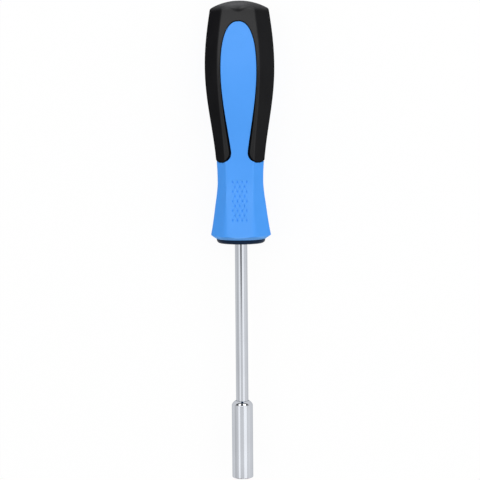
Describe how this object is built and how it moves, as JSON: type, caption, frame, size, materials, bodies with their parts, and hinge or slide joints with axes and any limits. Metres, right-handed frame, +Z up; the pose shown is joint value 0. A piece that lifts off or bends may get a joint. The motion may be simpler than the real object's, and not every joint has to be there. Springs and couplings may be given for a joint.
{
  "type": "bit holder screwdriver",
  "caption": "Hand screwdriver with a magnetic hexagon bit socket: waisted blue handle with black soft-grip lobes, round plated blade and a plain cylindrical holder sleeve.",
  "frame": {"origin": "on the surface the tool lies on, under the middle of its length", "axes": "+Y along the tool from the holder's mouth to the handle's rear dome, +Z up through one grip window, +X across"},
  "size_m": [0.0332, 0.23, 0.0293],
  "materials": {
    "blue_plastic": "satin moulded polypropylene, bright blue",
    "soft_black": "matt soft-touch overmould, black",
    "hard_black": "satin moulded plastic, black",
    "plated_steel": "bright chrome plating over steel",
    "magnet_plating": "nickel-plated magnet",
    "spring_steel": "drawn spring wire"
  },
  "bodies": {
    "driver": {"handle_shell": "blue_plastic", "grip_overmould": "soft_black", "handle_core": "hard_black", "blade_shaft": "plated_steel", "holder_sleeve": "plated_steel", "holder_magnet": "magnet_plating"},
    "ring": {"retaining_ring": "spring_steel"}
  },
  "joints": [
    {"name": "ring_turn", "type": "hinge", "parent": "driver", "child": "ring", "pos_m": [0, -0.1095, 0.01563], "axis": [0, 1, 0], "continuous": true}
  ]
}
